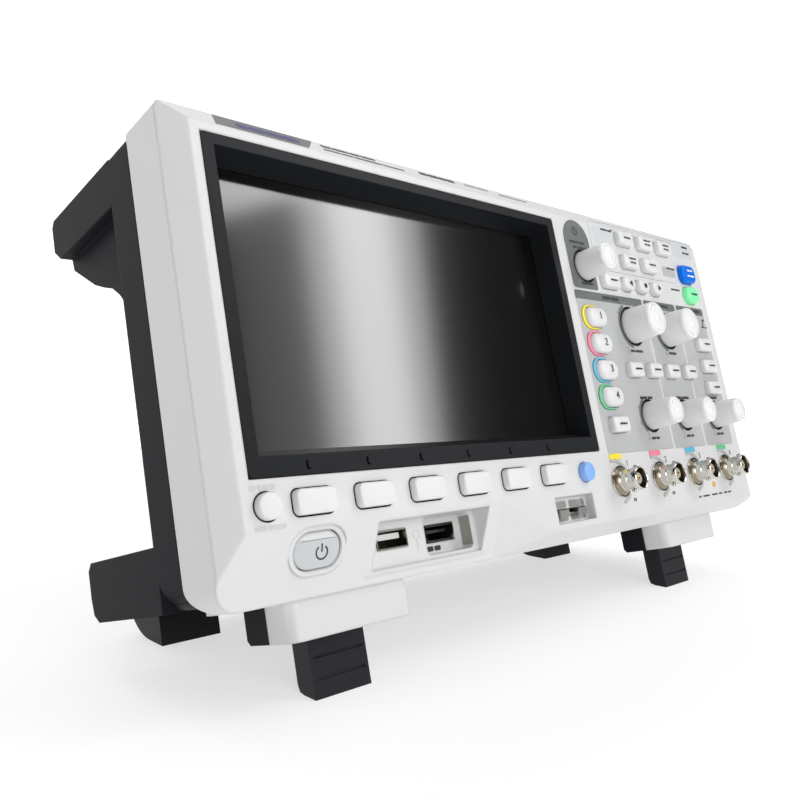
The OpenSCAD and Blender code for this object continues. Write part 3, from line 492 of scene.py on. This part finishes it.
for name, (x, z, w, h, r) in KEYS.items():
    m, slot = KEY_FINISH.get(name, (KEY, "key_white"))
    s = Shape()
    soft = 0.75 if name.startswith(("soft", "menu", "print")) else 1.15
    dome = 0.2
    if name.startswith("channel"):
        soft, dome = 2.3, 0.35
    pad(s, x, z, w, h, r, 1.2, -KEY_OUT, m, soft, dome)
    # a skirt behind the cap in the seam colour: painted shade in the gap round the key
    flange = ((4.2, 0.9), (3.0, 0.9), (2.9, 0), (1.2, 0))
    s.skin([at_y(rounded(x, z, w + 2 * g, h + 2 * g, r + g), y) for y, g in flange], SEAM_SHADE)
    turned(s, (x, 4.1, z), [(0, 1.6), (6.8, 1.6)], m, 20, axis=1)
    face = -KEY_OUT - 0.18
    if name == "auto_setup_key":
        dashes(s, x - 2.6, z + 1.5, 5.4, face, INK_WHITE, 1.0, (0.55, 0.45))
        dashes(s, x - 3.2, z - 1.5, 6.6, face, INK_WHITE, 1.0, (0.4, 0.6))
    elif name == "run_stop_key":
        dashes(s, x - 2.8, z, 5.6, face, INK, 1.0, (0.35, 0.65))
    elif not name.startswith(PLAIN):
        if name in ("acquire_key", "measure_key", "save_key"):
            dashes(s, x - 2.9, z + 1.0, 5.8, face, INK, 0.75, (0.6, 0.4))
            dashes(s, x - 2.3, z - 1.0, 4.6, face, INK, 0.75, (0.45, 0.55))
        else:
            dashes(s, x - 2.7, z, 5.4, face, INK, 0.85, (0.35, 0.4, 0.25), 0.35)
    elif name == "halt_key":
        bar(s, x - 1.1, x + 1.1, z - 1.1, z + 1.1, face, INK)
    elif name in ("back_key", "forward_key"):
        d = -1.4 if name == "back_key" else 1.4
        tri = [(x - d * 0.7, z - 1.4), (x + d, z), (x - d * 0.7, z + 1.4)]
        s.skin([at_y(tri, face + 0.02), at_y(tri, face - 0.06)], INK, smooth=False)
    s.make(name + "_cap", name, slot, name)
for i in range(4):
    x, z = CHANNEL[i][:2]
    n = i + 1
    digit(str(n), x + 0.6, z, 4.6, -KEY_OUT - 0.22, INK, f"channel_key_{n}", f"channel_number_{n}")
    digit(str(n), 39.6 + 32.3 * i, 25.8, 4.0, -0.04, INK, "housing", f"input_number_{n}")


# ---------- knobs and shafts ----------
SMALL, BIG = 6.5, 8.2  # radii
KNOBS = {
    "selector": (39, 114.1, SMALL),
    "vertical_scale": (68.4, 88.3, BIG),
    "horizontal_scale": (99.9, 88, BIG),
    "vertical_position": (67.6, 46.1, SMALL),
    "horizontal_position": (99.2, 46, SMALL),
    "trigger_level": (130.6, 45.5, SMALL),
}
OUT = 13.2  # from the panel to the knobs' faces
for name, (x, z, r) in KNOBS.items():
    s = Shape()
    c = r * 0.93
    side = [(-0.6, 3.2), (-0.6, r - 0.3), (0, r), (0.4, r)]
    side += [(OUT * 0.5, r * 0.965), (OUT - 2.6, c), (OUT - 2.3, c - 0.3)]
    turned(s, (x, 0, z), side, KNOB, 96, end=False)
    # rim, groove and dished centre of the face, as depth behind the front and radius
    rim = [(2.3, c - 0.3), (2.1, c), (1.0, c), (0.5, c - 0.22), (0.1, c - 0.7), (0.02, c - 1.1)]
    groove = [(0.1, c - 1.3), (0.65, c - 1.4), (0.65, c - 1.7), (0.12, c - 1.85), (0.02, c - 2.3)]
    dish = [(0.04, 2.3), (0.3, 2.15), (0.55, 1.8), (0.75, 0.9), (0.78, 0.3)]
    cap = [(OUT - depth, radius) for depth, radius in rim + groove + dish]

    def lobes(a, t, rr, c=c):
        return -0.12 * (0.5 + 0.5 * math.cos(12 * a)) if rr > c - 0.6 else 0.0

    turned(s, (x, 0, z), cap, CAP, 96, start=False, wave=lobes)
    s.make(name + "_grip", name + "_knob", "knob_plastic", name + "_knob")
    paint(name + "_shaft", SHAFT)


# ---------- input jacks ----------
LUG_TURN, LUG_OUT = 1.15, 7.0  # the bayonet lugs' angle in radians and place along the barrel


def jack(s, centre, axis):
    """A jack's flange, barrel, insulator, contact and the two lugs, leaving the panel along axis."""

    def notched(a, t, r):
        near = min(abs(math.degrees(a) - c) for c in (131, 232))
        return -1.1 if r > 6 and near < 7 else 0.0

    flange = [(0.02, 4.2), (0.02, 6.6), (0.7, 6.7), (1.0, 6.5), (1.0, 5.9)]
    turned(s, centre, flange, CHROME, 90, axis, end=False, start=False, wave=notched)
    # the taper in the darker finish: painted reflection
    shade = [(1.0, 5.9), (1.3, 5.7), (2.4, 5.0), (2.7, 4.5)]
    turned(s, centre, shade, NICKEL_SHADE, 72, axis, end=False, start=False)
    barrel = [(2.7, 4.5), (3.0, 4.2), (3.2, 4.5), (5.6, 4.5), (5.8, 4.3), (6.1, 4.3), (6.3, 4.5)]
    barrel += [(8.0, 4.5), (8.1, 4.82), (9.9, 4.82), (10.2, 4.65), (10.35, 4.4)]
    barrel += [(10.2, 4.15), (9.9, 4.05)]
    turned(s, centre, barrel, CHROME, 72, axis, end=False, start=False)
    # the barrel's inside in the darker finish: painted shade
    turned(s, centre, [(9.9, 4.05), (2.0, 4.0)], NICKEL_SHADE, 72, axis, end=False, start=False)
    insulator = [(2.0, 4.0), (2.0, 2.5), (8.6, 2.4), (8.9, 2.2), (8.9, 1.0), (8.2, 0.9)]
    turned(s, centre, insulator, TEFLON, 48, axis, start=False, end=False)
    contact = [(8.2, 0.9), (9.2, 0.85), (9.3, 0.65), (9.2, 0.45), (6.0, 0.42)]
    turned(s, centre, contact, GOLD, 32, axis, start=False)
    x, y, z = centre
    for turn in (LUG_TURN, LUG_TURN + math.pi):
        along, across = math.cos(turn), math.sin(turn)
        rings = []
        for h, r in ((4.2, 0.95), (5.6, 0.95), (5.75, 0.75), (5.78, 0.3)):
            ring = []
            for i in range(16):
                a = 2 * math.pi * i / 16
                out = LUG_OUT + r * math.cos(a)
                side = r * math.sin(a)
                ring.append((x + along * h - across * side, y + axis * out, z + across * h + along * side))
            rings.append(ring)
        s.skin(rings, CHROME)


s = Shape()
for i in range(4):
    jack(s, (JACK_X + JACK_PITCH * i, 0, JACK_Z), -1)
jack(s, (20, 121, 40), 1)
s.make("jacks", "housing", "jack_nickel", "bnc_jacks")


# ---------- power key on the slope ----------
LEAN = math.atan2(10, 19.7)
CAP_LEAN = math.radians(8)  # the cap leans back from the slope
SLOPE_TOP, KEY_DOWN = 17.5, 7.7  # the slope's upper edge, and the key's place down the slope
SLOPE = Matrix.Translation(
    (-124.1, KEY_DOWN * math.sin(LEAN), SLOPE_TOP - KEY_DOWN * math.cos(LEAN))
) @ Matrix.Rotation(LEAN, 4, "X")
s = Shape()
stroke(s, arc(1.6, -0.7, 2.0, 125, 415, 30), 0.5, 0.26, INK)
stroke(s, [(1.6, -0.6), (1.6, 1.9)], 0.5, 0.26, INK)
lip = arc(3.0, 0.2, 4.9, 37.8, 90, 8) + arc(-3.0, 0.2, 4.9, 90, 142.2, 8)
s.skin([at_y(lip, 0.34), at_y(lip, 0.2)], SHELL, smooth=False)
# a thin dark line under the lip: painted shade along the collar's edge
stroke(s, [(-6.2, 3.2), (6.2, 3.2)], 0.25, 0.24, INK_GREY)
s.place(Matrix.Rotation(-CAP_LEAN, 4, "X"))
rings = []
sides = ((3.6, 0.0, 0.0), (0.95, 0.0, 1.0), (0.6, 0.06, 1.0), (0.35, 0.3, 1.0), (0.27, 0.7, 1.0))
for y, inset, lean in sides:
    edge = rounded(0, 0, 16.4 - 2 * inset, 10.8 - 2 * inset, 5.2 - inset, 12)
    rings.append([(x, y + lean * z * math.tan(CAP_LEAN), z) for x, z in edge])
s.skin(rings, KEY_GREY)
# a dark ring behind the cap: painted shade in the gap round it
s.skin([at_y(rounded(0, 0, 18, 12.4, 6), y) for y in (4.6, 3.6)], SEAM_SHADE)
turned(s, (0, 4.5, 0), [(0, 1.8), (2.5, 1.8)], KEY_GREY, 20, axis=1)
s.place(SLOPE)
s.make("power_key_cap", "power_key", "key_grey", "power_key")


# ---------- painted shade in the wells round the knobs, and a painted shadow on each knob's left ---
s = Shape()
for x, z, r in KNOBS.values():
    floor = [(0, r + 1.25), (0.05, r + 1.25), (0.05, 3.6), (0, 3.6)]
    wall = [(-1.4, r + 1.28), (0.42, r + 1.28), (0.46, r + 1.1), (-1.4, r + 1.1)]
    turned(s, (x, 1.98, z), floor, WELL_SHADE, 72, end=False, start=False)
    turned(s, (x, 0.5, z), wall, WELL_SHADE, 72, end=False, start=False)
    # a dark grey arc on the knob's left side: painted shadow of the knob
    stroke(s, arc(x, z, r + 2.1, 115, 255 if r == BIG else 235, 40), 1.5, 0.02, HEADER, 0.05)
s.make("knob_wells", "housing", "frame_black")


# ---------- printed marks ----------
def words(s, x0, x1, z, m, h=1.3, parts=(0.4, 0.35, 0.25), y=0.02):
    dashes(s, x0, z, x1 - x0, y, m, h, parts)


# dark lines round the soft and menu keys: painted shade along the gaps round the caps
SEAM_OUT = 0.3  # from a cap's side to the middle of the dark line round it
s = Shape()
for x, z, w, h, r in SOFT + [KEYS["menu_key"]]:
    x0, x1 = x - w / 2 - SEAM_OUT, x + w / 2 + SEAM_OUT
    z0, z1 = z - h / 2 - SEAM_OUT, z + h / 2 + SEAM_OUT
    pts = rounded((x0 + x1) / 2, (z0 + z1) / 2, x1 - x0, z1 - z0, r + SEAM_OUT, 8)
    stroke(s, pts + pts[:2], 0.38, 0.0, SEAM_SHADE, 0.03)
s.make("key_seams", "housing", "frame_black")

s = Shape()
# header bars and the labels beside them
words(s, 48, 61.5, 100.5, INK, 1.5, (0.5, 0.5))
words(s, 92, 106, 100.5, INK, 1.5, (0.62, 0.38))
words(s, 119, 139, 100.5, INK, 1.5, (0.4, 0.6))
words(s, 62.6, 73, 76.4, INK, 1.2, (0.35, 0.65))
words(s, 97.2, 104.4, 76.6, INK, 1.2, (1.0,))
words(s, 61.5, 72.3, 54.4, INK, 1.3, (0.6, 0.4))
words(s, 94, 106.6, 54.4, INK, 1.3, (0.45, 0.55))
words(s, 125.5, 136, 54.4, INK, 1.3, (1.0,))
for x in (64.2, 96.6, 127.8):
    words(s, x, x + 7, 35.8, INK, 1.2, (0.55, 0.45))
for x, z in ((60.9, 77.0), (95.0, 77.2), (62.4, 36.8), (94.8, 36.8), (126.0, 36.8)):
    stroke(s, [(x, z + 1.5), (x, z - 0.9)], 0.4, 0.02, INK_GREY)
    stroke(s, arc(x, z - 0.9, 0.9, 180, 360, 10), 0.3, 0.02, INK_GREY)
for x0 in (58.6, 90.2, 121.8):
    for x, z, d in ((x0, 50, 1), (x0 - 0.2, 42.7, -1)):
        tri = [(x - 0.9, z - 0.9 * d), (x + 0.9, z - 0.9 * d), (x, z + 1.0 * d)]
        s.skin([at_y(tri, 0.04), at_y(tri, -0.04)], INK_GREY, smooth=False)
# turning arcs over the scale knobs, with arrow heads
TURN_R = 11.6
for x, z, r in (KNOBS["vertical_scale"], KNOBS["horizontal_scale"]):
    stroke(s, arc(x, z, TURN_R, 68, 146, 24), 0.35, 0.02, INK_GREY)
    for a in (66, 148):
        d = 1 if a < 90 else -1
        c, n = math.cos(math.radians(a)), math.sin(math.radians(a))
        tip = [(x + TURN_R * c + d * 1.4 * n, z + TURN_R * n - d * 1.4 * c)]
        tip += [(x + far * c, z + far * n) for far in (12.4, 10.8)]
        s.skin([at_y(tip, 0.04), at_y(tip, -0.04)], INK_GREY, smooth=False)
# selector zone: icon, two words, ticks and the push mark
stroke(s, arc(36.9, 130.2, 1.7, 60, 400, 24), 0.6, 0.02, INK)
stroke(s, [(36.9, 129.2), (36.9, 131.9)], 0.6, 0.02, INK)
words(s, 31.4, 42.4, 124.9, INK, 1.2, (0.6, 0.4))
words(s, 33.0, 42.6, 122.5, INK, 1.2, (0.35, 0.65))
words(s, 34.4, 43.1, 106.0, INK, 1.2, (1.0,))
stroke(s, [(32.4, 107.6), (32.4, 105.2)], 0.4, 0.02, INK_GREY)
for a in range(60, 131, 14):
    c, n = math.cos(math.radians(a)), math.sin(math.radians(a))
    tick = [(37.1 + far * c, 125.9 + far * n) for far in (7.4, 8.3)]
    stroke(s, tick, 0.3, 0.02, INK_GREY)
# function zone: a grooved border drawn as a painted highlight (the wide pale line) beside painted shade
# (the thin grey line), printed fields and small words
for width, m, y in ((0.9, INK_WHITE, 0.02), (0.35, INK_GREY, 0.0)):
    corner = arc(52.0, 134.9, 3.0, 90, 180, 8)
    stroke(s, [(147.2, 138.4), (53.0, 137.9)] + corner + [(49.0, 113.6)], width, y, m, 0.03)
    stroke(s, [(51.5, 114.1), (106.5, 114.1)], width, y, m, 0.03)
bar(s, 51.6, 67.8, 127.6, 135.6, 0.02, WINDOW, 0.03, 1.0)
words(s, 58.9, 68.0, 134.6, INK, 0.9, (0.6, 0.4), -0.03)
bar(s, 124.6, 145.4, 129.8, 138.0, 0.02, WINDOW, 0.03, 1.0)
words(s, 135.6, 141.6, 136.2, INK, 1.1, (1.0,), -0.03)
words(s, 135.4, 142.2, 132.9, INK, 1.1, (0.4, 0.6), -0.03)
bar(s, 109.4, 121.8, 117.4, 122.6, 0.02, PANEL, 0.03, 0.8)
words(s, 114.0, 122.4, 122.0, INK, 0.9, (0.55, 0.45), -0.03)
words(s, 113.8, 122.8, 110.8, INK, 0.9, (1.0,), 0.02)
for x in (68.6, 86.8, 104.9):
    words(s, x - 1.4, x + 0.8, 135.4, INK_GREY, 0.6, (1.0,), -0.03)
# trigger slope mark: a rising step
stroke(s, [(137.6, 92.2), (139.8, 92.2), (139.8, 96.2), (142.4, 96.2)], 1.1, 0.02, INK)
stroke(s, [(141.2, 92.2), (143.4, 92.2)], 0.8, 0.02, INK)
stroke(s, [(32.0, 46.2), (34.4, 46.2)], 0.35, 0.02, INK_GREY)
# pale words beside the menu key
words(s, -146.0, -137.6, 29.6, INK_PALE, 1.7, (0.3, 0.2, 0.25, 0.25), 0.0)
words(s, -146.0, -135.8, 18.6, INK_PALE, 1.5, (0.4, 0.6), 0.0)
# marks under the input jacks
for x, z in ((40.1, 10.2), (72.8, 10.4)):
    words(s, x - 1.0, x + 1.1, z, INK, 1.5, (0.5, 0.5), 0.0)
bar(s, 110.6, 113.8, 10.0, 12.8, 0.0, AMBER, 0.05, 1.3)
for x0, x1 in (
    (95, 97.6),
    (99.2, 105.6),
    (108, 114),
    (115.2, 118.4),
    (120.6, 124),
    (124.8, 128.2),
):
    bar(s, x0, x1, 6.2, 7.0, 0.0, INK, 0.04)
# arcs round each jack: a raised grey ear above and one below
above = [(-4.6, 8.8), (-3.0, 9.0), (-1.2, 8.9), (0.8, 8.4), (2.6, 7.6), (4.4, 6.4), (6.0, 5.0)]
below = [(5.6, -5.4), (4.2, -6.8), (2.4, -7.9), (0.2, -8.7)]
for i in range(4):
    x = JACK_X + JACK_PITCH * i
    stroke(s, [(x + dx, JACK_Z + dz) for dx, dz in above], 1.3, 0.0, PANEL, 0.4)
    stroke(s, [(x + dx, JACK_Z + dz) for dx, dz in below], 1.4, 0.0, PANEL, 0.4)
# contact recess: the clips, and a painted shade bar for the dark slot behind them
for x0, x1 in ((-13.8, -3.4), (-1.8, 8.6)):
    bar(s, x0, x1, 6.6, 9.3, 4.0, STEEL, 0.1)
    bar(s, x0, x1, 11.4, 14.2, 4.0, STEEL, 0.1)
bar(s, -14.4, 9.2, 9.5, 11.2, 4.0, PIT_SHADE, 0.1)
# port recess: painted shade on the pocket's side wall, and the marks on the plate
side = [(14.0, 3.6), (9.05, 3.6), (9.05, 15.4), (14.0, 15.4)]
s.skin([[(x, y, z) for y, z in side] for x in (-53.72, -53.9)], WALL_SHADE, smooth=False)
words(s, -74.6, -65.0, 5.2, INK, 1.7, (0.3, 0.35, 0.35), 14.0)
stroke(s, [(-80.2, 5.4), (-80.2, 9.0)], 0.4, 9.0, INK_PALE)
stroke(s, arc(-80.2, 10.8, 1.5, 0, 360, 20), 0.35, 9.0, INK_PALE)
s.make("panel_print", "housing", "panel_grey")

# marks under the display, recessed in the frame: drawn flat in painted shade
s = Shape()
for i in range(6):
    x = SOFT_X + SOFT_PITCH * i
    stroke(s, [(x, 33.8), (x, 36.2)], 0.7, 0.0, PIT_SHADE, 0.06)
    stroke(s, [(x, 33.85), (x + 1.0, 33.85)], 0.5, 0.0, PIT_SHADE, 0.06)
s.make("display_marks", "housing", "frame_black")

s = Shape()
bevel = Matrix.Translation((0, 0, 136.4)) @ Matrix.Rotation(-math.atan2(5.7, 7.1), 4, "X")
strip = [(-139.6, 0.5), (-106.0, 0.5), (-100.4, 8.4), (-137.4, 8.4)]
s.skin([at_y(strip, 0.02), at_y(strip, -0.05)], STRIP, smooth=False)
for x0, x1, z, h, parts, m in (
    (-131, -108, 4.4, 3.0, (0.2, 0.25, 0.3, 0.25), INK_BLUE),
    (-98.0, -74.0, 6.3, 1.4, (0.2, 0.3, 0.2, 0.3), INK),
    (-98.4, -62.0, 3.4, 0.9, (0.2, 0.15, 0.35, 0.3), INK),
    (-53.0, -34.0, 5.6, 2.2, (0.25, 0.3, 0.2, 0.25), INK),
    (-28.0, -14.0, 6.0, 1.2, (0.5, 0.5), INK_GREY),
    (-8.0, 10.0, 5.0, 1.2, (0.4, 0.6), INK_GREY),
):
    dashes(s, x0, z, x1 - x0, -0.05, m, h, parts)
s.place(bevel)
s.make("top_strip", "housing", "panel_grey")


# ---------- floor, light, camera, in metres ----------
FLOOR_Z = -0.0001  # just below the feet, so that no faces coincide
CURVE_R = 0.8


def sweep():
    """A pale floor that curves up into a wall behind the object."""
    bm = bmesh.new()
    rows = [(-3.0, FLOOR_Z), (0.75, FLOOR_Z)]
    for i in range(17):
        a = math.radians(90 * i / 16)
        rows.append((1.2 + CURVE_R * math.sin(a), CURVE_R - CURVE_R * math.cos(a)))
    rows.append((1.2 + CURVE_R, 4.5))
    prev = None
    for y, z in rows:
        line = [bm.verts.new((x, y, z)) for x in (-4.5, 0.9, 9.0)]
        if prev:
            for k in (0, 1):
                f = bm.faces.new((prev[k], prev[k + 1], line[k + 1], line[k]))
                f.smooth = True
                f.material_index = int(k > 0 or y > 0.8)
        prev = line
    mesh = bpy.data.meshes.new("floor")
    bm.to_mesh(mesh)
    bm.free()
    obj = bpy.data.objects.new("floor", mesh)
    bpy.context.scene.collection.objects.link(obj)
    for name, glow in (("floor_pale", 1.6), ("wall_pale", 2.6)):
        pale = material(name, (0.40, 0.40, 0.40), 0.8, grain=0.02, size=0.002, tint=0.005, glow=glow)
        mesh.materials.append(pale)


sweep()


def light(name, spot, target, size, power, roll=0.0):
    """A rectangular area light at spot that faces target."""
    data = bpy.data.lights.new(name, "AREA")
    data.shape = "RECTANGLE"
    data.size, data.size_y = size
    data.energy = power
    obj = bpy.data.objects.new(name, data)
    bpy.context.scene.collection.objects.link(obj)
    obj.location = spot
    aim = Vector(target) - Vector(spot)
    turn = aim.to_track_quat("-Z", "Y").to_matrix() @ Matrix.Rotation(math.radians(roll), 3, "Z")
    obj.rotation_euler = turn.to_euler()


MIDDLE_OF_BODY = (0, 0, 0.09)
# the display mirrors the three key lights: together they make its soft-edged bright band
light("key", (0.975, -1.025, 0.84), MIDDLE_OF_BODY, (0.14, 1.1), 1.8, -12)
light("key_soft", (0.99, -1.04, 0.85), MIDDLE_OF_BODY, (0.27, 1.1), 2.9, -12)
light("key_wide", (0.94, -1.12, 0.86), MIDDLE_OF_BODY, (0.46, 1.1), 1.3, -12)
light("fill", (0.66, -0.85, 1.24), MIDDLE_OF_BODY, (0.6, 0.4), 3.6)
light("top", (-0.1, 0.1, 1.7), (0, 0.05, 0.05), (1.8, 1.8), 12)
light("front", (-0.4, -1.44, 0.6), (-0.1, 0, 0.09), (1.0, 0.8), 11)

world = bpy.data.worlds.new("studio")
bpy.context.scene.world = world
world.use_nodes = True
world.node_tree.nodes["Background"].inputs["Color"].default_value = (0.9, 0.9, 0.9, 1)
world.node_tree.nodes["Background"].inputs["Strength"].default_value = 0.05

cam_data = bpy.data.cameras.new("camera")
cam_data.lens = 36.04
cam_data.sensor_width = 36
cam_data.shift_x = -0.0076
cam_data.shift_y = 0.0271
cam_data.clip_start = 0.01
cam = bpy.data.objects.new("camera", cam_data)
bpy.context.scene.collection.objects.link(cam)
cam.location = (-0.26130, -0.24106, 0.09446)
cam.rotation_euler = (math.radians(87.674), math.radians(-0.569), math.radians(-43.439))
bpy.context.scene.camera = cam
bpy.context.scene.view_settings.view_transform = "Standard"
